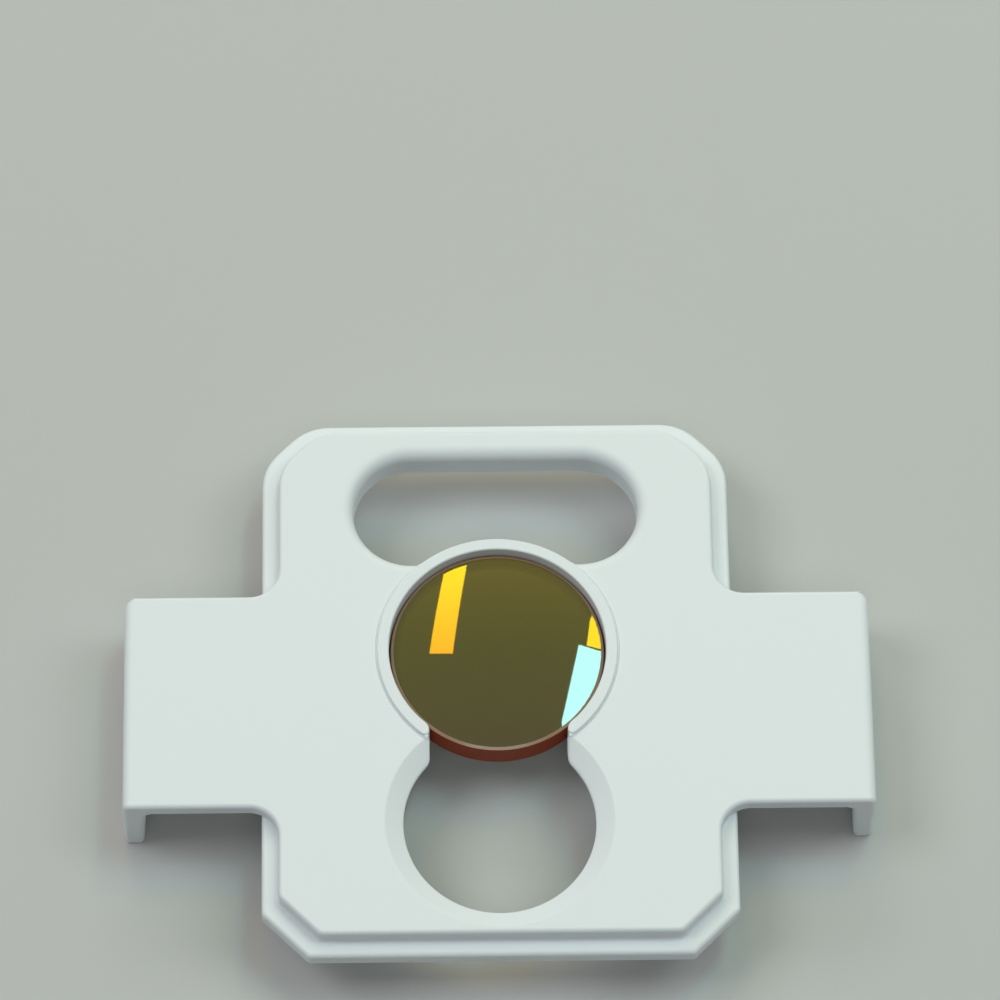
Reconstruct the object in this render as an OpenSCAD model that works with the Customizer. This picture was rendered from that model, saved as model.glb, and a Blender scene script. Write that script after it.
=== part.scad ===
// Clip-on supplementary lens: a one-piece white carrier with one coated glass lens in an open C-shaped seat.
// Millimetres, +Z up. The carrier stands on its two clip tabs at z = 0, with its base centred on X and Y.

/* [Base flange] */
// Width of the base across X
base_w = 44.2; // [42:0.1:48]
// Length of the base along Y
base_l = 54.5; // [54:0.1:60]
// Thickness of the base layer
base_t = 1.9; // [1.4:0.1:3]
// Corner chamfer of the base
base_chamfer = 4.3; // [2:0.1:6]

/* [Top plate] */
// Thickness of the raised plate and its wings
plate_t = 1.6; // [1.2:0.1:2.4]
// Width of the flange step at the sides and front
step_w = 1.6; // [1:0.1:1.9]
// Width of the flange step at the far end
far_step_w = 1.4; // [1:0.1:2.4]
// Corner chamfer of the raised plate
plate_chamfer = 3.8; // [2:0.1:5]

/* [Clip wings] */
// Overall width across the two clip tabs
wing_span = 70; // [66:0.1:76]
// Depth of the wings along Y
wing_d = 21.6; // [14:0.1:26]
// Position along Y of the middle of the wings
wing_y = -2.1; // [-6:0.1:4]
// Plan fillet between the edge of a wing and the side of the plate
wing_fillet_r = 2.8; // [1:0.1:3.2]
// Height from the foot of a tab to the top of the plate
tab_h = 8.5; // [7:0.1:12]
// Thickness of a tab at its root
tab_root_t = 2.2; // [1.8:0.05:3]
// Thickness of a tab at its foot
tab_foot_t = 1.75; // [1.4:0.05:2.2]
// Radius of the outer top edge of a tab
tab_edge_r = 0.9; // [0.4:0.1:1.4]

/* [Finger slot] */
// Length of the slot from end to end
slot_l = 26.9; // [20:0.1:30]
// Width of the slot
slot_w = 11; // [7:0.1:12]
// Position along Y of the middle of the slot
slot_y = 17.6; // [16.5:0.1:18.5]
// Radius of the rounded mouth of the slot
slot_mouth_r = 1.2; // [0.4:0.1:1.4]

/* [Lens seat] */
// Diameter of the lens
lens_d = 20; // [18:0.1:20.2]
// Radial clearance between the lens and its seat
seat_gap = 0.18; // [0.02:0.02:0.3]
// Position along Y of the optical axis
seat_y = 3; // [2.5:0.1:3.5]
// Outer diameter of the collar round the seat
collar_d = 22.6; // [22:0.1:24]
// Height of the collar above the plate
collar_h = 0.3; // [0.1:0.1:1.5]
// Distance from the underside of the base down to the underside of the lens
lens_drop = 0.25; // [0:0.05:0.4]
// Thickness of the lip that carries the lens
lip_t = 0.6; // [0.4:0.1:0.8]
// Diameter of the clear aperture in the lip
lip_d = 18.4; // [16:0.1:19]

/* [Lens] */
// Edge thickness of the lens
lens_edge_t = 3; // [2.4:0.1:3.2]
// Radius of the upper, convex face
convex_r = 72; // [50:1:200]
// Width of the bevel round both rims
lens_bevel = 0.25; // [0.1:0.05:0.4]

/* [Lower window] */
// Diameter of the round window
window_d = 17.9; // [16:0.1:18.5]
// Position along Y of the middle of the window
window_y = -14.3; // [-14.7:0.1:-14]
// Diameter of the dished band round the window
dish_d = 21.5; // [19:0.1:23]
// Depth of the dished band at the edge of the window
dish_depth = 1.1; // [0.4:0.1:1.2]
// Thickness left at the edge of the window
window_lip_t = 0.4; // [0.3:0.1:1]
// Diameter of the relief under the window
relief_d = 20.2; // [19:0.1:20.6]
// Width of the throat between the seat and the window
throat_w = 12.9; // [9:0.1:13.5]
// Radius of the throat's lower corners
throat_r = 1.4; // [0.4:0.1:2]

/* [Hidden] */
$fn = 96;
eps = 0.01;             // overlap that keeps joined layers one solid
cut = 1;                // how far a cutter runs past a face
plate_z = tab_h;                        // top of the plate
step_z = plate_z - plate_t;             // top of the flange step and underside of the wings
base_z = step_z - base_t;               // underside of the base
collar_z = plate_z + collar_h;          // top of the collar
lens_z = base_z - lens_drop;            // underside of the lens, on the lip
lip_z = lens_z - lip_t;                 // underside of the lip
rim_z = lens_z + lens_edge_t;           // edge of the convex face
relief_z = plate_z - dish_depth - window_lip_t; // ceiling of the relief
seat_r = lens_d / 2 + seat_gap;
convex_sag = convex_r - sqrt(convex_r * convex_r - lens_d * lens_d / 4);
plate_w = base_w - 2 * step_w;
plate_y0 = -base_l / 2 + step_w;
plate_y1 = base_l / 2 - far_step_w;
wing_y0 = wing_y - wing_d / 2;
wing_y1 = wing_y + wing_d / 2;

// Rectangle from y0 to y1, centred on X, with its four corners cut off.
module chamfered_outline(w, y0, y1, c) {
    polygon([
        [-w / 2 + c, y0], [w / 2 - c, y0], [w / 2, y0 + c], [w / 2, y1 - c],
        [w / 2 - c, y1], [-w / 2 + c, y1], [-w / 2, y1 - c], [-w / 2, y0 + c]
    ]);
}

// Fillet for an inside corner at the origin, filling the quadrant towards sx, sy.
module inside_corner(r, sx, sy) {
    difference() {
        translate([sx > 0 ? -eps : -r, sy > 0 ? -eps : -r]) square(r + eps);
        translate([sx * r, sy * r]) circle(r = r);
    }
}

module base_layer() {
    translate([0, 0, base_z])
        linear_extrude(base_t)
            chamfered_outline(base_w, -base_l / 2, base_l / 2, base_chamfer);
}

// The raised plate and both wings are one flat layer.
module top_layer() {
    translate([0, 0, step_z - eps])
        linear_extrude(plate_t + eps)
            union() {
                chamfered_outline(plate_w, plate_y0, plate_y1, plate_chamfer);
                translate([-wing_span / 2 + tab_edge_r, wing_y0])
                    square([wing_span - 2 * tab_edge_r, wing_d]);
                for (sx = [-1, 1]) {
                    translate([sx * plate_w / 2, wing_y0]) inside_corner(wing_fillet_r, sx, -1);
                    translate([sx * plate_w / 2, wing_y1]) inside_corner(wing_fillet_r, sx, 1);
                }
            }
}

// Cross-section of the right tab in X and Z: rounded outside edge, inner face flared out towards the foot.
module tab_outline() {
    x1 = wing_span / 2;
    union() {
        polygon([
            [x1 - tab_root_t, step_z], [x1 - tab_foot_t, 0], [x1, 0], [x1, plate_z - tab_edge_r],
            [x1 - tab_edge_r, plate_z - tab_edge_r], [x1 - tab_edge_r, plate_z], [x1 - tab_root_t, plate_z]
        ]);
        intersection() {
            translate([x1 - tab_edge_r, plate_z - tab_edge_r]) circle(r = tab_edge_r);
            translate([x1 - tab_edge_r, plate_z - tab_edge_r]) square(tab_edge_r);
        }
    }
}

module right_tab() {
    translate([0, wing_y1, 0]) rotate([90, 0, 0]) linear_extrude(wing_d) tab_outline();
}

// Straight throat whose lower corners round into the window.
module throat_outline() {
    run = seat_y - window_y;
    hw = throat_w / 2;
    wr = window_d / 2;
    // The rounding circle touches the throat's side and the window's rim from outside.
    cx = hw + throat_r;
    cy = sqrt((wr + throat_r) * (wr + throat_r) - cx * cx);
    translate([-hw, window_y]) square([throat_w, run]);
    difference() {
        translate([-cx, window_y]) square([2 * cx, cy]);
        for (sx = [-1, 1]) translate([sx * cx, window_y + cy]) circle(r = throat_r);
    }
}

module slot_outline() {
    r = slot_w / 2;
    for (sx = [-1, 1]) translate([sx * (slot_l / 2 - r), slot_y]) circle(r = r);
    translate([-slot_l / 2 + r, slot_y - r]) square([slot_l - 2 * r, slot_w]);
}

// Section of the mouth cutter at distance 0 to reach from the slot's middle line.
module mouth_section(reach) {
    difference() {
        translate([0, -slot_mouth_r]) square([reach + slot_mouth_r, slot_mouth_r]);
        translate([reach + slot_mouth_r, -slot_mouth_r]) circle(r = slot_mouth_r);
    }
}

// Cutter that rounds the mouth of the slot: a ring at each end and a run between them.
module slot_mouth() {
    r = slot_w / 2;
    run = slot_l / 2 - r;
    for (sx = [-1, 1]) translate([sx * run, slot_y, plate_z]) rotate_extrude() mouth_section(r);
    translate([-run, slot_y, plate_z])
        rotate([90, 0, 90])
            linear_extrude(2 * run)
                union() {
                    mouth_section(r);
                    mirror([1, 0]) mouth_section(r);
                }
}

module carrier() {
    color([0.83, 0.88, 0.86])
    difference() {
        union() {
            difference() {
                union() {
                    base_layer();
                    top_layer();
                }
                translate([0, 0, base_z - cut]) linear_extrude(plate_z - base_z + 2 * cut) slot_outline();
                slot_mouth();
                // Dished band round the window
                translate([0, window_y, plate_z - dish_depth])
                    cylinder(d1 = window_d, d2 = dish_d, h = dish_depth);
                translate([0, window_y, plate_z - eps]) cylinder(d = dish_d, h = cut);
                // Relief under the window, which leaves its edge thin
                translate([0, window_y, base_z - cut]) cylinder(d = relief_d, h = relief_z - base_z + cut);
            }
            right_tab();
            mirror([1, 0, 0]) right_tab();
            // Collar and lip ring run right through the plate as one sleeve
            translate([0, seat_y, lip_z]) cylinder(d = collar_d, h = collar_z - lip_z);
        }
        translate([0, seat_y, lens_z]) cylinder(r = seat_r, h = collar_z - lens_z + cut);
        translate([0, seat_y, lip_z - cut]) cylinder(d = lip_d, h = lens_z - lip_z + 2 * cut);
        translate([0, window_y, lip_z - cut]) cylinder(d = window_d, h = collar_z - lip_z + 2 * cut);
        translate([0, 0, lip_z - cut]) linear_extrude(collar_z - lip_z + 2 * cut) throat_outline();
    }
}

// Plano-convex lens, flat face down, with a bevel round each rim.
module lens() {
    r = lens_d / 2;
    color([0.42, 0.36, 0.14, 0.6])
    translate([0, seat_y, lens_z])
        intersection() {
            union() {
                cylinder(r1 = r - lens_bevel, r2 = r, h = lens_bevel);
                translate([0, 0, lens_bevel]) cylinder(r = r, h = lens_edge_t - 2 * lens_bevel);
                translate([0, 0, lens_edge_t - lens_bevel])
                    cylinder(r1 = r, r2 = r - lens_bevel - convex_sag, h = lens_bevel + convex_sag);
            }
            translate([0, 0, lens_edge_t + convex_sag - convex_r]) sphere(r = convex_r, $fn = 360);
        }
}

carrier();
lens();
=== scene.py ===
import math

import bpy
from mathutils import Matrix, Vector


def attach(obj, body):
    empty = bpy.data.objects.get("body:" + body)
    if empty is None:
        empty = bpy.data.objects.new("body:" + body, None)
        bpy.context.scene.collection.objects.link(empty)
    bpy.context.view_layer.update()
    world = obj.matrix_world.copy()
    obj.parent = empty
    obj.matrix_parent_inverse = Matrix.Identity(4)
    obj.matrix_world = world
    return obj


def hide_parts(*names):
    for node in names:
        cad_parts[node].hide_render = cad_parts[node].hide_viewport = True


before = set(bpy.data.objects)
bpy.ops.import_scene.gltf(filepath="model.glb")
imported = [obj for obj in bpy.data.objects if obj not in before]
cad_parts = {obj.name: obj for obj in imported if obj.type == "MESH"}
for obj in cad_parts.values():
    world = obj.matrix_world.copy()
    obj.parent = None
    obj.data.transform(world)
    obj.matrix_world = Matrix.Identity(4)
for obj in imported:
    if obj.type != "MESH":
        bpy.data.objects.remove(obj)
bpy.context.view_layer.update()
print("frame loaded")

mm = 0.001

carrierSizes = {
    "baseHalfWidth": 22.1, "baseHalfLength": 27.25, "baseBottom": 5.0, "stepLevel": 6.9, "baseChamfer": 4.3,
    "baseCornerRadius": 0.7, "baseFarRadius": 5.0, "baseEdge": 0.45,
    "plateHalfWidth": 20.5, "plateNear": -25.65, "plateFar": 25.85, "plateTop": 8.5, "plateChamfer": 3.8,
    "plateCornerRadius": 0.9, "plateFarRadius": 4.6, "plateEdge": 0.44, "plateFoot": 0.32,
    "wingHalfSpan": 35.0, "wingNear": -12.9, "wingFar": 8.7, "wingFillet": 2.8, "wingUnderEdge": 0.25,
    "wingInset": 0.75,  # how far inside the tabs' outer face the flat wing stops
    "tabRoot": 2.2, "tabFoot": 1.75, "tabTopEdge": 0.9, "tabFootEdge": 0.4, "tabNearCorner": 0.5,
    "tabFarCorner": 1.1, "tabInnerCorner": 0.5, "tabRootFillet": 0.6,
    "tabBury": 0.9,  # how far the tab reaches into the wing
    "slotHalfLength": 13.45, "slotHalfWidth": 5.5, "slotY": 17.6, "slotMouth": 1.2, "slotTrim": 0.25,
    "seatY": 3.0, "seatRadius": 10.18, "collarRadius": 11.3, "collarTop": 8.8, "collarCrown": 0.18,
    "collarTip": 0.42, "collarShoulder": 1.15,
    "collarFoot": 0.12, "skirtInset": 0.3, "skirtTip": 0.2, "skirtShoulder": 0.8, "skirtTopDrop": 0.15,
    "skirtTopInset": 0.1, "grooveWidth": 0.2, "grooveDepth": 0.1, "grooveFootInset": 0.1,
    "lipTop": 4.75, "lipBottom": 4.15, "lipRadius": 9.2, "lipOverlap": 0.02, "lipTip": 0.3,
    "lipShoulder": 0.5, "lipFootEdge": 0.15, "lipTopEdge": 0.06,
    "windowY": -14.3, "windowRadius": 8.95, "windowRim": 0.12, "windowLip": 0.4, "windowOvercut": 0.02,
    "dishRadius": 10.75, "dishDepth": 1.1, "dishEdgeDrop": 0.06, "dishEdgeInset": 0.16, "dishEdgeOut": 0.06,
    "dishLeadDepth": 0.4, "dishLeadInset": 0.6, "reliefRadius": 10.1, "reliefEdge": 0.3,
    "throatHalfWidth": 6.45, "throatCorner": 1.4,
    "throatOverlap": 3.0,  # the throat ends this far short of the seat's centre, inside the seat hole
    "holeFootEdge": 0.2,  # edge round where the slot and the relief meet the underside
    "sink": 0.3,  # how far a body is sunk into the one under it, so that they join
    "footRise": 0.6, "seatHoleGap": 0.5,
    "cutterLow": 3.0, "cutterHigh": 11.0,
}
k = carrierSizes
arcSteps = 7  # facets in each edge round


def roundCorners(corners, steps=6):
    # corners are (x, y, radius), anticlockwise
    points = []
    count = len(corners)
    for i, (x, y, radius) in enumerate(corners):
        here = Vector((x, y))
        if radius <= 0:
            points.append(here)
            continue
        back = (Vector(corners[i - 1][:2]) - here).normalized()
        ahead = (Vector(corners[(i + 1) % count][:2]) - here).normalized()
        half = back.angle(ahead) / 2
        centre = here + (back + ahead).normalized() * (radius / math.sin(half))
        start = here + back * (radius / math.tan(half)) - centre
        end = here + ahead * (radius / math.tan(half)) - centre
        turn = math.atan2(start.x * end.y - start.y * end.x, start.dot(end))
        for n in range(steps + 1):
            points.append(centre + Matrix.Rotation(turn * n / steps, 2) @ start)
    return points


def arcPoints(centreY, radius, start, end, step=0.55):
    # points on an arc about (0, centreY), angles in degrees from +X
    count = max(2, round(abs(math.radians(end - start)) * radius / step))
    angles = [math.radians(start + (end - start) * n / count) for n in range(count + 1)]
    return [Vector((radius * math.cos(a), centreY + radius * math.sin(a))) for a in angles]


def sideNormals(points):
    # outward mitre of each corner of an anticlockwise outline
    normals = []
    for i, here in enumerate(points):
        inward = (here - points[i - 1]).normalized()
        onward = (points[(i + 1) % len(points)] - here).normalized()
        first, second = Vector((inward.y, -inward.x)), Vector((onward.y, -onward.x))
        normals.append((first + second) / (1 + first.dot(second)))
    return normals


def skin(name, rings):
    # closed body through rings of 3D points, lowest ring first
    count = len(rings[0])
    vertices = [tuple(c * mm for c in p) for ring in rings for p in ring]
    faces = [tuple(reversed(range(count)))]
    for level in range(len(rings) - 1):
        low, high = level * count, (level + 1) * count
        faces += [(low + i, low + (i + 1) % count, high + (i + 1) % count, high + i) for i in range(count)]
    faces.append(tuple(range((len(rings) - 1) * count, len(rings) * count)))
    mesh = bpy.data.meshes.new(name)
    mesh.from_pydata(vertices, [], faces)
    body = bpy.data.objects.new(name, mesh)
    bpy.context.scene.collection.objects.link(body)
    return body


def prism(name, outline, profile):
    # profile is (z, offset) from the bottom up; offset moves the wall outward
    normals = sideNormals(outline)
    rings = [[(p.x + n.x * out, p.y + n.y * out, z) for p, n in zip(outline, normals)] for z, out in profile]
    return skin(name, rings)


def quarter(steps=arcSteps):
    return [math.pi / 2 * n / steps for n in range(steps + 1)]


def topRound(z, r):
    return [(z - r + r * math.sin(a), r * math.cos(a) - r) for a in quarter()]


def bottomRound(z, r):
    return [(z + r - r * math.cos(a), r * math.sin(a) - r) for a in quarter()]


def footFlare(z, r):
    return [(z + r - r * math.cos(a), r - r * math.sin(a)) for a in quarter()]


def mouthFlare(z, r, out=0.0):
    # a cutter that opens outward, leaving a round edge at height z
    return [(z - r + r * math.sin(a), out + r - r * math.cos(a)) for a in quarter()]


def underFlare(z, r):
    return [(z + r - r * math.sin(a), r - r * math.cos(a)) for a in reversed(quarter())]


def applyModifiers(piece):
    mesh = bpy.data.meshes.new_from_object(piece.evaluated_get(bpy.context.evaluated_depsgraph_get()))
    piece.modifiers.clear()
    piece.data = mesh


def combine(target, steps):
    # steps are (operation, body); the bodies are used up
    for number, (operation, body) in enumerate(steps):
        modifier = target.modifiers.new("step%02d" % number, "BOOLEAN")
        modifier.operation = operation
        modifier.solver = "MANIFOLD"
        modifier.object = body
    applyModifiers(target)
    for operation, body in steps:
        bpy.data.objects.remove(body, do_unlink=True)


def chamferedPlate(halfWidth, near, far, chamfer, radius, farRadius):
    # the far corners are softer than the near ones
    w, c, r, f = halfWidth, chamfer, radius, farRadius
    return roundCorners([(-w + c, near, r), (w - c, near, r), (w, near + c, r), (w, far - c, f),
                         (w - c, far, f), (-w + c, far, f), (-w, far - c, f), (-w, near + c, r)])


def crossOutline():
    w, c, r, soft = k["plateHalfWidth"], k["plateChamfer"], k["plateCornerRadius"], k["plateFarRadius"]
    near, far, wn, wf, f = k["plateNear"], k["plateFar"], k["wingNear"], k["wingFar"], k["wingFillet"]
    s = k["wingHalfSpan"] - k["wingInset"]
    right = [(w - c, near, r), (w, near + c, r), (w, wn, f), (s, wn, 0), (s, wf, 0), (w, wf, f),
             (w, far - c, soft), (w - c, far, soft)]
    return roundCorners(right + [(-x, y, radius) for x, y, radius in reversed(right)], steps=12)


def buildTab(side):
    # a tab hangs from the wing's end; its inner face flares out towards the foot
    x1, near, far = k["wingHalfSpan"], k["wingNear"], k["wingFar"]
    step, top, fillet, bury = k["stepLevel"], k["plateTop"], k["tabRootFillet"], k["tabBury"]
    # levels are (z, offset, inward shift of the inner face, angle round the top edge)
    levels = [(z, out, 0.0, 0.0) for z, out in bottomRound(0.0, k["tabFootEdge"])]
    levels.append((step - fillet, 0.0, 0.0, 0.0))
    for a in quarter()[1:]:
        levels.append((step - fillet + fillet * math.sin(a), 0.0, fillet - fillet * math.cos(a), 0.0))
    levels.append((top - k["tabTopEdge"], 0.0, bury, 0.0))
    levels += [(top, 0.0, bury, a) for a in quarter()[1:]]
    rings = []
    for z, out, inward, topAngle in levels:
        inner = x1 - (k["tabFoot"] + (k["tabRoot"] - k["tabFoot"]) * min(1.0, z / step)) - inward
        outline = roundCorners([(inner, near, k["tabInnerCorner"]), (x1, near, k["tabNearCorner"]),
                                (x1, far, k["tabFarCorner"]), (inner, far, k["tabInnerCorner"])])
        ring = []
        for p, n in zip(outline, sideNormals(outline)):
            if z > step:
                edge = k["plateEdge"] + (k["tabTopEdge"] - k["plateEdge"]) * max(0.0, n.x)
                shift = edge * math.cos(topAngle) - edge
                height = top - (edge - edge * math.sin(topAngle))
            else:
                shift, height = out, z
            ring.append((p.x + n.x * shift, p.y + n.y * shift, height))
        rings.append(ring)
    if side < 0:
        rings = [[(-x, y, z) for x, y, z in reversed(ring)] for ring in rings]
    return skin("tab", rings)


def openRing(inner, outer, tipRadius, shoulderRadius):
    # C-shaped outline round the seat, open towards the window
    half, y = k["throatHalfWidth"], k["seatY"]
    lead = 1.15  # first step off each end, long enough for its corner round
    ends = {r: -90 + math.degrees(math.asin(half / r)) for r in (inner, outer)}
    first = {r: ends[r] + math.degrees(lead / r) for r in (inner, outer)}
    outside = arcPoints(y, outer, first[outer], 180 - first[outer])
    inside = arcPoints(y, inner, 180 - first[inner], first[inner])
    tip = lambda r, sign, rounding: (sign * half, y - math.sqrt(r * r - half * half), rounding)
    corners = [tip(outer, 1, tipRadius)] + [(p.x, p.y, 0) for p in outside]
    corners += [tip(outer, -1, tipRadius), tip(inner, -1, shoulderRadius)]
    corners += [(p.x, p.y, 0) for p in inside] + [tip(inner, 1, shoulderRadius)]
    return roundCorners(corners)


def throatOutline():
    # window circle with the throat running up into the seat
    half, wy, wr, r = k["throatHalfWidth"], k["windowY"], k["windowRadius"], k["throatCorner"]
    cx = half + r
    cy = math.sqrt((wr + r) ** 2 - cx ** 2)
    touch = math.degrees(math.atan2(cy, cx))
    circle = arcPoints(wy, wr, 180 - touch, 360 + touch)
    spin = math.radians(touch)
    steps = 8
    rounding = []
    for n in range(1, steps + 1):
        a = math.pi + spin - spin * n / steps
        rounding.append(Vector((cx + r * math.cos(a), wy + cy + r * math.sin(a))))
    top = k["seatY"] - k["throatOverlap"]
    left = [Vector((-p.x, p.y)) for p in reversed(rounding)]
    return circle + rounding + [Vector((half, top)), Vector((-half, top))] + left


def slotOutline():
    r, y, reach = k["slotHalfWidth"], k["slotY"], k["slotHalfLength"] - k["slotHalfWidth"]
    right = [p + Vector((reach, 0)) for p in arcPoints(y, r, -90, 90, 0.4)]
    left = [p - Vector((reach, 0)) for p in arcPoints(y, r, 90, 270, 0.4)]
    return right + left


def circleOutline(centreY, radius, step=0.5):
    return arcPoints(centreY, radius, 0, 360, step)[:-1]


def buildCarrier():
    low, high, sink = k["cutterLow"], k["cutterHigh"], k["sink"]
    step, top, rim, under = k["stepLevel"], k["plateTop"], k["windowRim"], k["holeFootEdge"]
    floorLevel = top - k["dishDepth"]
    dishReach = k["dishRadius"] - k["windowRadius"]
    dishMouth = dishReach + k["dishEdgeOut"]

    base = prism("carrierBody", chamferedPlate(k["baseHalfWidth"], -k["baseHalfLength"], k["baseHalfLength"],
                                               k["baseChamfer"], k["baseCornerRadius"], k["baseFarRadius"]),
                 bottomRound(k["baseBottom"], k["baseEdge"]) + topRound(step, k["baseEdge"]))
    foot = prism("foot", chamferedPlate(k["plateHalfWidth"], k["plateNear"], k["plateFar"],
                                        k["plateChamfer"], k["plateCornerRadius"], k["plateFarRadius"]),
                 [(step - sink, k["plateFoot"])] + footFlare(step, k["plateFoot"])
                 + [(step + k["footRise"], 0.0)])
    cross = prism("cross", crossOutline(),
                  bottomRound(step, k["wingUnderEdge"]) + topRound(top, k["plateEdge"]))
    slotOpening = prism("slotOpening", slotOutline(),
                        [(low, under)] + underFlare(k["baseBottom"], under)
                        + mouthFlare(top, k["slotMouth"]) + [(high, k["slotMouth"])])
    dish = prism("dish", circleOutline(k["windowY"], k["windowRadius"]),
                 [(floorLevel - k["dishLeadDepth"], -k["dishLeadInset"]), (floorLevel, 0.0),
                  (top - k["dishEdgeDrop"], dishReach - k["dishEdgeInset"]),
                  (top, dishMouth), (high, dishMouth)])
    # the cut goes a hair over the dish's floor, so that no skin is left between them
    window = prism("window", throatOutline(),
                   [(low, 0.0)] + mouthFlare(floorLevel + k["windowOvercut"], rim) + [(high, rim)])
    relief = prism("relief", circleOutline(k["windowY"], k["reliefRadius"]),
                   [(low, under)] + underFlare(k["baseBottom"], under)
                   + topRound(floorLevel - k["windowLip"], k["reliefEdge"]))
    seatHole = prism("seatHole", circleOutline(k["seatY"], k["seatRadius"] + k["seatHoleGap"]),
                     [(low, 0.0), (high, 0.0)])
    combine(base, [("UNION", foot), ("UNION", cross), ("UNION", buildTab(1)), ("UNION", buildTab(-1)),
                   ("DIFFERENCE", slotOpening), ("DIFFERENCE", dish), ("DIFFERENCE", seatHole),
                   ("DIFFERENCE", window), ("DIFFERENCE", relief)])

    skirt = prism("skirt", openRing(k["seatRadius"] + k["skirtInset"], k["collarRadius"],
                                    k["skirtTip"], k["skirtShoulder"]),
                  [(top - sink, k["collarFoot"])] + footFlare(top, k["collarFoot"])
                  + [(k["collarTop"] - k["skirtTopDrop"], -k["skirtTopInset"])])
    trims = []
    openings = (("slotOpening", slotOutline(), k["slotTrim"]), ("window", throatOutline(), rim))
    for name, outline, out in openings:
        trims.append(("DIFFERENCE", prism(name, outline, [(low, out), (high, out)])))
    combine(skirt, trims)
    groove = prism("groove", openRing(k["seatRadius"] + k["seatHoleGap"],
                                      k["collarRadius"] + k["grooveWidth"],
                                      k["skirtTip"], k["skirtShoulder"]),
                   [(top - k["grooveDepth"], -k["grooveFootInset"]), (top, 0.0), (high, 0.0)])
    collar = prism("collar", openRing(k["seatRadius"], k["collarRadius"],
                                      k["collarTip"], k["collarShoulder"]),
                   [(k["lipTop"] - sink, 0.0)] + topRound(k["collarTop"], k["collarCrown"]))
    lip = prism("lip", openRing(k["lipRadius"], k["collarRadius"] + k["lipOverlap"],
                                k["lipTip"], k["lipShoulder"]),
                bottomRound(k["lipBottom"], k["lipFootEdge"]) + topRound(k["lipTop"], k["lipTopEdge"]))
    combine(base, [("DIFFERENCE", groove), ("UNION", skirt), ("UNION", collar), ("UNION", lip)])
    return base


def showSmooth(piece, degrees=28):
    mesh = piece.data
    mesh.polygons.foreach_set("use_smooth", [True] * len(mesh.polygons))
    mesh.set_sharp_from_angle(angle=math.radians(degrees))


def weightNormals(piece):
    modifier = piece.modifiers.new("weights", "WEIGHTED_NORMAL")
    modifier.mode = "FACE_AREA"
    modifier.weight = 100
    modifier.keep_sharp = True
    applyModifiers(piece)


# these are the inputs of the lens's node tree, so they are named as a person would read them there
lensSizes = {
    "Radius": 10.0, "Edge thickness": 3.0, "Top curve": 72.0, "Under curve": 260.0,
    "Bevel": 0.26, "Bevel height": 0.16, "Seat Y": 3.0, "Level": 4.75, "Rings": 26, "Segments": 144,
}
lensSkin = {
    "weld": 0.001, "groundFrom": 0.1,  # the ground part starts at this share of the bevel's width
    "bevelLean": 0.3,  # outer faces that lean more than this are the bevels
}


def mathNode(tree, operation, first, second=None):
    node = tree.nodes.new("ShaderNodeMath")
    node.operation = operation
    for socket, value in zip(node.inputs, (first, second)):
        if isinstance(value, bpy.types.NodeSocket):
            tree.links.new(value, socket)
        elif value is not None:
            socket.default_value = value
    return node.outputs[0]


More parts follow.
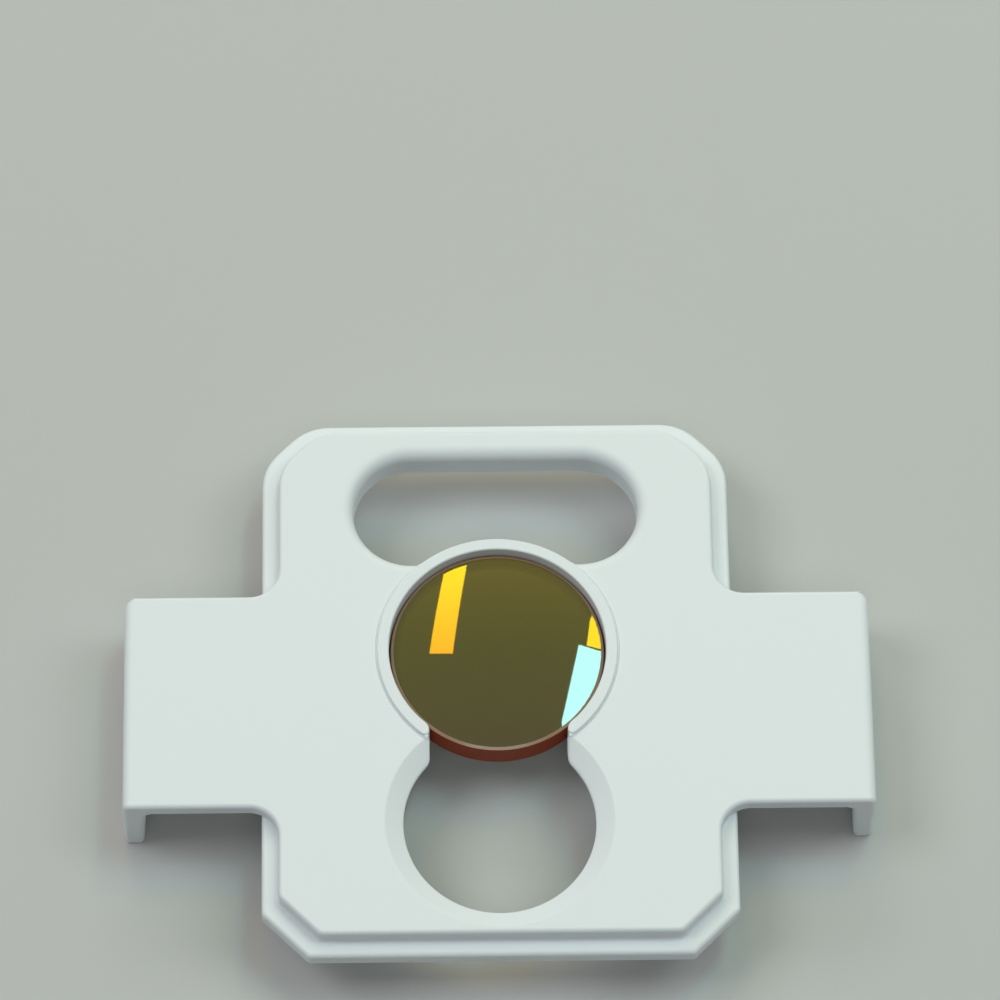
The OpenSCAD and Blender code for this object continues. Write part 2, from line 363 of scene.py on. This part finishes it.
def lensTree(glass, ground, bevel):
    # a disc grid wrapped round the axis; each row of it is one ring of the lens
    tree = bpy.data.node_groups.new("turnedLens", "GeometryNodeTree")
    whole = ("Rings", "Segments")
    for name in lensSizes:
        kind = "NodeSocketInt" if name in whole else "NodeSocketFloat"
        tree.interface.new_socket(name, in_out="INPUT", socket_type=kind)
    tree.interface.new_socket("Geometry", in_out="OUTPUT", socket_type="NodeSocketGeometry")
    given = tree.nodes.new("NodeGroupInput").outputs
    do = lambda operation, first, second=None: mathNode(tree, operation, first, second)
    last = do("ADD", do("MULTIPLY", given["Rings"], 2.0), 1.0)
    grid = tree.nodes.new("GeometryNodeMeshGrid")
    tree.links.new(last, grid.inputs["Size X"])
    grid.inputs["Size Y"].default_value = 2 * math.pi
    tree.links.new(do("ADD", last, 1.0), grid.inputs["Vertices X"])
    tree.links.new(do("ADD", given["Segments"], 1.0), grid.inputs["Vertices Y"])
    split = tree.nodes.new("ShaderNodeSeparateXYZ")
    tree.links.new(tree.nodes.new("GeometryNodeInputPosition").outputs[0], split.inputs[0])
    row = do("ROUND", do("ADD", split.outputs["X"], do("DIVIDE", last, 2.0)))
    ring = do("MINIMUM", row, do("SUBTRACT", last, row))
    isEdge = do("GREATER_THAN", ring, do("SUBTRACT", given["Rings"], 0.5))
    isDome = do("SUBTRACT", 1.0, isEdge)
    isUnder = do("GREATER_THAN", row, do("DIVIDE", last, 2.0))
    isTop = do("SUBTRACT", 1.0, isUnder)
    faceRadius = do("SUBTRACT", given["Radius"], given["Bevel"])
    domeRadius = do("MULTIPLY", faceRadius, do("DIVIDE", ring, do("SUBTRACT", given["Rings"], 1.0)))
    radius = do("ADD", do("MULTIPLY", isDome, domeRadius), do("MULTIPLY", isEdge, given["Radius"]))

    def rise(curve):
        # height of a spherical cap above its rim
        square = do("POWER", curve, 2.0)
        drop = lambda at: do("SUBTRACT", curve, do("SQRT", do("SUBTRACT", square, do("POWER", at, 2.0))))
        return do("SUBTRACT", drop(faceRadius), drop(domeRadius))

    topDome = do("ADD", given["Edge thickness"], rise(given["Top curve"]))
    topEdge = do("SUBTRACT", given["Edge thickness"], given["Bevel height"])
    topZ = do("ADD", do("MULTIPLY", isDome, topDome), do("MULTIPLY", isEdge, topEdge))
    underEdge = do("MULTIPLY", isEdge, given["Bevel height"])
    underZ = do("ADD", do("MULTIPLY", isDome, rise(given["Under curve"])), underEdge)
    z = do("ADD", do("MULTIPLY", isTop, topZ), do("MULTIPLY", isUnder, underZ))
    place = tree.nodes.new("ShaderNodeCombineXYZ")
    tree.links.new(do("MULTIPLY", radius, do("COSINE", split.outputs["Y"])), place.inputs[0])
    tree.links.new(do("MULTIPLY", radius, do("SINE", split.outputs["Y"])), place.inputs[1])
    tree.links.new(z, place.inputs[2])
    wrap = tree.nodes.new("GeometryNodeSetPosition")
    tree.links.new(grid.outputs["Mesh"], wrap.inputs["Geometry"])
    tree.links.new(place.outputs[0], wrap.inputs["Position"])
    weld = tree.nodes.new("GeometryNodeMergeByDistance")
    weld.inputs["Distance"].default_value = lensSkin["weld"]
    tree.links.new(wrap.outputs[0], weld.inputs["Geometry"])

    realize = tree.nodes.new("GeometryNodeRealizeInstances")
    setGlass = tree.nodes.new("GeometryNodeSetMaterial")
    setGlass.inputs["Material"].default_value = glass
    setGround = tree.nodes.new("GeometryNodeSetMaterial")
    setGround.inputs["Material"].default_value = ground
    faceAt = tree.nodes.new("ShaderNodeSeparateXYZ")
    tree.links.new(tree.nodes.new("GeometryNodeInputPosition").outputs[0], faceAt.inputs[0])
    away = do("SQRT", do("ADD", do("POWER", faceAt.outputs["X"], 2.0), do("POWER", faceAt.outputs["Y"], 2.0)))
    limit = do("ADD", faceRadius, do("MULTIPLY", given["Bevel"], lensSkin["groundFrom"]))
    tree.links.new(do("GREATER_THAN", away, limit), setGround.inputs["Selection"])
    seatShift = do("MULTIPLY", given["Seat Y"], mm)
    fromAxis = do("SUBTRACT", faceAt.outputs["Y"], seatShift)
    awayFinal = do("SQRT", do("ADD", do("POWER", faceAt.outputs["X"], 2.0), do("POWER", fromAxis, 2.0)))
    move = tree.nodes.new("GeometryNodeTransform")
    shift = tree.nodes.new("ShaderNodeCombineXYZ")
    tree.links.new(seatShift, shift.inputs[1])
    tree.links.new(do("MULTIPLY", given["Level"], mm), shift.inputs[2])
    tree.links.new(shift.outputs[0], move.inputs["Translation"])
    move.inputs["Scale"].default_value = (mm, mm, mm)
    out = tree.nodes.new("NodeGroupOutput")
    tree.links.new(weld.outputs[0], setGlass.inputs["Geometry"])
    tree.links.new(setGlass.outputs[0], setGround.inputs["Geometry"])
    tree.links.new(setGround.outputs[0], move.inputs["Geometry"])
    tree.links.new(move.outputs[0], realize.inputs["Geometry"])
    # the bevel faces get the lighter material whose colour is a painted highlight
    final = tree.nodes.new("GeometryNodeSetMaterial")
    final.inputs["Material"].default_value = bevel
    faceWay = tree.nodes.new("ShaderNodeSeparateXYZ")
    tree.links.new(tree.nodes.new("GeometryNodeInputNormal").outputs[0], faceWay.inputs[0])
    leans = do("GREATER_THAN", do("ABSOLUTE", faceWay.outputs["Z"]), lensSkin["bevelLean"])
    isOuter = do("GREATER_THAN", awayFinal, do("MULTIPLY", limit, mm))
    tree.links.new(do("MULTIPLY", leans, isOuter), final.inputs["Selection"])
    tree.links.new(realize.outputs[0], final.inputs["Geometry"])
    tree.links.new(final.outputs[0], out.inputs["Geometry"])
    return tree


def settleNodes(piece, tree, sizes):
    modifier = piece.modifiers.new("shape", "NODES")
    modifier.node_group = tree
    for item in tree.interface.items_tree:
        if item.in_out == "INPUT" and item.name in sizes:
            modifier[item.identifier] = sizes[item.name]
    applyModifiers(piece)
    materials = piece.data.materials
    for slot in reversed(range(len(materials))):
        if materials[slot] is None:
            materials.pop(index=slot)


def plainObject(name):
    piece = bpy.data.objects.new(name, bpy.data.meshes.new(name))
    bpy.context.scene.collection.objects.link(piece)
    return piece


def mouldGroup():
    # slow drift and fine grain of a moulded or ground surface
    tree = bpy.data.node_groups.new("surfaceGrain", "ShaderNodeTree")
    for name, value in (("Scale", 900.0), ("Low", 0.35), ("High", 0.5)):
        tree.interface.new_socket(name, in_out="INPUT", socket_type="NodeSocketFloat").default_value = value
    for name in ("Roughness", "Height"):
        tree.interface.new_socket(name, in_out="OUTPUT", socket_type="NodeSocketFloat")
    given = tree.nodes.new("NodeGroupInput")
    out = tree.nodes.new("NodeGroupOutput")
    where = tree.nodes.new("ShaderNodeTexCoord")
    drift = tree.nodes.new("ShaderNodeTexNoise")
    drift.inputs["Scale"].default_value = 60.0
    drift.inputs["Detail"].default_value = 3.0
    grain = tree.nodes.new("ShaderNodeTexNoise")
    grain.inputs["Detail"].default_value = 4.0
    span = tree.nodes.new("ShaderNodeMapRange")
    span.inputs["From Min"].default_value = 0.3
    span.inputs["From Max"].default_value = 0.7
    tree.links.new(where.outputs["Object"], drift.inputs["Vector"])
    tree.links.new(where.outputs["Object"], grain.inputs["Vector"])
    tree.links.new(given.outputs["Scale"], grain.inputs["Scale"])
    tree.links.new(given.outputs["Low"], span.inputs["To Min"])
    tree.links.new(given.outputs["High"], span.inputs["To Max"])
    tree.links.new(drift.outputs[0], span.inputs["Value"])
    tree.links.new(span.outputs[0], out.inputs["Roughness"])
    tree.links.new(grain.outputs[0], out.inputs["Height"])
    return tree


def newMaterial(name, settings):
    material = bpy.data.materials.new(name)
    material.use_nodes = True
    shader = material.node_tree.nodes["Principled BSDF"]
    for socket, value in settings.items():
        shader.inputs[socket].default_value = value
    return material, material.node_tree, shader


def addGrain(tree, shader, group, scale, low, high, bump):
    grain = tree.nodes.new("ShaderNodeGroup")
    grain.node_tree = group
    grain.inputs["Scale"].default_value = scale
    grain.inputs["Low"].default_value = low
    grain.inputs["High"].default_value = high
    tree.links.new(grain.outputs["Roughness"], shader.inputs["Roughness"])
    relief = tree.nodes.new("ShaderNodeBump")
    relief.inputs["Strength"].default_value = bump
    relief.inputs["Distance"].default_value = grainDepth
    tree.links.new(grain.outputs["Height"], relief.inputs["Height"])
    tree.links.new(relief.outputs[0], shader.inputs["Normal"])


surfaceGrain = mouldGroup()
grainDepth = 0.02 * mm
mouldedGrain = (1500.0, 0.42, 0.55, 0.12)  # scale, roughness low and high, bump
groundGrain = (4000.0, 0.3, 0.45, 0.3)
whitePlastic, tree, shader = newMaterial("whitePlastic", {
    "Base Color": (0.78, 0.815, 0.85, 1), "Specular IOR Level": 0.2,
})
addGrain(tree, shader, surfaceGrain, *mouldedGrain)
coatedGlass, tree, shader = newMaterial("coatedGlass", {
    "Roughness": 0.02, "IOR": 1.9, "Transmission Weight": 0.5,
})
# painted light and shade: the glass's base colour is lighter and olive towards the slot and darker and
# browner towards the window
shadeCoords = tree.nodes.new("ShaderNodeTexCoord")
shadeSplit = tree.nodes.new("ShaderNodeSeparateXYZ")
shadeRange = tree.nodes.new("ShaderNodeMapRange")
shadeRange.inputs["From Min"].default_value = -7.0 * mm
shadeRange.inputs["From Max"].default_value = 13.0 * mm
paintedShadeRamp = tree.nodes.new("ShaderNodeValToRGB")
paintedShadeRamp.color_ramp.elements[0].color = (0.185, 0.14, 0.045, 1)
paintedShadeRamp.color_ramp.elements[1].color = (0.26, 0.195, 0.008, 1)
middle = paintedShadeRamp.color_ramp.elements.new(0.5)
middle.color = (0.185, 0.16, 0.014, 1)
tree.links.new(shadeCoords.outputs["Object"], shadeSplit.inputs[0])
tree.links.new(shadeSplit.outputs["Y"], shadeRange.inputs["Value"])
tree.links.new(shadeRange.outputs[0], paintedShadeRamp.inputs[0])
tree.links.new(paintedShadeRamp.outputs[0], shader.inputs["Base Color"])
groundEdge, tree, shader = newMaterial("groundEdge", {
    "Base Color": (0.30, 0.045, 0.012, 1), "IOR": 1.5, "Specular IOR Level": 0.1,
})
addGrain(tree, shader, surfaceGrain, *groundGrain)
# painted highlight: the bevel is the same ground glass as the edge, given a lighter beige base colour for the
# light it catches; its glossy coat is real
bevelPaintedHighlight, tree, shader = newMaterial("bevelPaintedHighlight", {
    "Base Color": (0.32, 0.18, 0.09, 1), "IOR": 2.2, "Coat Weight": 0.6, "Coat Roughness": 0.12,
})
addGrain(tree, shader, surfaceGrain, *groundGrain)
print("materials made")

carrier = buildCarrier()
carrier.name = "carrierMoulding"
carrier.data.materials.clear()
carrier.data.materials.append(whitePlastic)
showSmooth(carrier)
weightNormals(carrier)
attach(carrier, "carrier")
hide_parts("carrier")
print("carrier built", len(carrier.data.polygons), "faces")

lens = plainObject("lensGlass")
settleNodes(lens, lensTree(coatedGlass, groundEdge, bevelPaintedHighlight), lensSizes)
showSmooth(lens, 18)
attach(lens, "lens")
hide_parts("lens")
print("lens built", len(lens.data.polygons), "faces", [m.name for m in lens.data.materials])

# studio
studio = {
    "floor": (0.52, 0.525, 0.52, 1), "floorSize": 3.0, "floorRoughness": 0.9, "sky": (0.86, 0.93, 0.92, 1),
    "frontSky": 0.12, "backSky": 0.3, "skyFrom": -0.6, "skyTo": 0.8,
}
floorMesh = bpy.data.meshes.new("studioFloor")
half = studio["floorSize"] / 2
floorCorners = [(-half, -half, 0), (half, -half, 0), (half, half, 0), (-half, half, 0)]
floorMesh.from_pydata(floorCorners, [], [(0, 1, 2, 3)])
floor = bpy.data.objects.new("studioFloor", floorMesh)
bpy.context.scene.collection.objects.link(floor)
floorLook = {"Base Color": studio["floor"], "Roughness": studio["floorRoughness"]}
floorMesh.materials.append(newMaterial("paperFloor", floorLook)[0])

bpy.context.scene.view_settings.view_transform = "Standard"
world = bpy.data.worlds.new("studio")
bpy.context.scene.world = world
world.use_nodes = True
skyNodes, skyLinks = world.node_tree.nodes, world.node_tree.links
skyNodes["Background"].inputs["Color"].default_value = studio["sky"]
skyCoords = skyNodes.new("ShaderNodeTexCoord")
skySplit = skyNodes.new("ShaderNodeSeparateXYZ")
skyRamp = skyNodes.new("ShaderNodeMapRange")  # dim in front, bright behind
skyRamp.inputs["From Min"].default_value = studio["skyFrom"]
skyRamp.inputs["From Max"].default_value = studio["skyTo"]
skyRamp.inputs["To Min"].default_value = studio["frontSky"]
skyRamp.inputs["To Max"].default_value = studio["backSky"]
skyLinks.new(skyCoords.outputs["Generated"], skySplit.inputs[0])
skyLinks.new(skySplit.outputs["Y"], skyRamp.inputs["Value"])
skyLinks.new(skyRamp.outputs[0], skyNodes["Background"].inputs["Strength"])


def areaLight(name, place, aim, size, power, colour=(1, 1, 1)):
    data = bpy.data.lights.new(name, "AREA")
    data.shape = "RECTANGLE"
    data.size, data.size_y = size
    data.energy = power
    data.color = colour
    lamp = bpy.data.objects.new(name, data)
    lamp.location = place
    lamp.rotation_euler = (Vector(aim) - Vector(place)).to_track_quat("-Z", "Y").to_euler()
    bpy.context.scene.collection.objects.link(lamp)
    return lamp


def overheadLight(name, place, size, turn, radiance, colour):
    # a lamp that faces straight down, turned about Z; its power follows from how bright its face is
    power = radiance * math.pi * size[0] * size[1]
    lamp = areaLight(name, place, (place[0], place[1], 0), size, power, colour)
    lamp.rotation_euler = (0, 0, math.radians(turn))
    return lamp


areaLight("backSoftbox", (-0.12, 0.95, 0.62), (0, 0, 0), (0.9, 0.25), 2.5, (1.0, 0.99, 0.97))
areaLight("leftSoftbox", (-0.6, 0.1, 0.85), (0, 0, 0), (0.5, 0.5), 2.95, (0.97, 0.99, 1.0))
areaLight("rightSoftbox", (0.66, 0.12, 0.85), (0, 0, 0), (0.5, 0.5), 2.45, (0.97, 1.0, 0.99))
areaLight("frontSoftbox", (0, -0.5, 0.85), (0, 0, 0), (0.6, 0.3), 1.1, (1.0, 0.99, 0.97))
amberStrip = overheadLight("amberStrip", (-0.079, 0.397, 0.608), (0.042, 0.25), -5.6, 9.5, (1.0, 1.0, 1.0))
overheadLight("amberPane", (0.224, 0.375, 0.608), (0.078, 0.17), -10.0, 9.5, (1.0, 0.72, 0.0))
overheadLight("coolPane", (0.168, 0.172, 0.608), (0.08, 0.24), -13.0, 10.0, (0.45, 1.0, 0.97))

# the strip runs from yellow at its far end to orange at its near end
amberStrip.data.use_nodes = True
stripNodes, stripLinks = amberStrip.data.node_tree.nodes, amberStrip.data.node_tree.links
stripAt = stripNodes.new("ShaderNodeNewGeometry")
stripSplit = stripNodes.new("ShaderNodeSeparateXYZ")
stripRamp = stripNodes.new("ShaderNodeValToRGB")
stripRamp.color_ramp.elements[0].color = (1.0, 0.45, 0.0, 1)
stripRamp.color_ramp.elements[1].color = (1.0, 0.78, 0.0, 1)
stripLinks.new(stripAt.outputs["Parametric"], stripSplit.inputs[0])
stripLinks.new(stripSplit.outputs["Y"], stripRamp.inputs[0])
stripLinks.new(stripRamp.outputs[0], stripNodes["Emission"].inputs["Color"])

# camera
cameraFit = {
    "target": (0.468, 18.48, 8.5), "azimuth": 1.78, "elevation": 64.1, "roll": 1.07, "distance": 609.3,
    "focal": 231.4, "sensor": 36, "clip": (0.05, 20),
}
az, el, roll = (math.radians(cameraFit[n]) for n in ("azimuth", "elevation", "roll"))
forward = Vector((math.sin(az) * math.cos(el), math.cos(az) * math.cos(el), -math.sin(el)))
right = Vector((math.cos(az), -math.sin(az), 0))
up = right.cross(forward)
right, up = math.cos(roll) * right + math.sin(roll) * up, math.cos(roll) * up - math.sin(roll) * right
spot = (Vector(cameraFit["target"]) - forward * cameraFit["distance"]) * mm
cameraData = bpy.data.cameras.new("camera")
cameraData.lens = cameraFit["focal"]
cameraData.sensor_width = cameraFit["sensor"]
cameraData.clip_start, cameraData.clip_end = cameraFit["clip"]
camera = bpy.data.objects.new("camera", cameraData)
camera.matrix_world = Matrix.Translation(spot) @ Matrix((right, up, -forward)).transposed().to_4x4()
bpy.context.scene.collection.objects.link(camera)
bpy.context.scene.camera = camera
print("studio set")
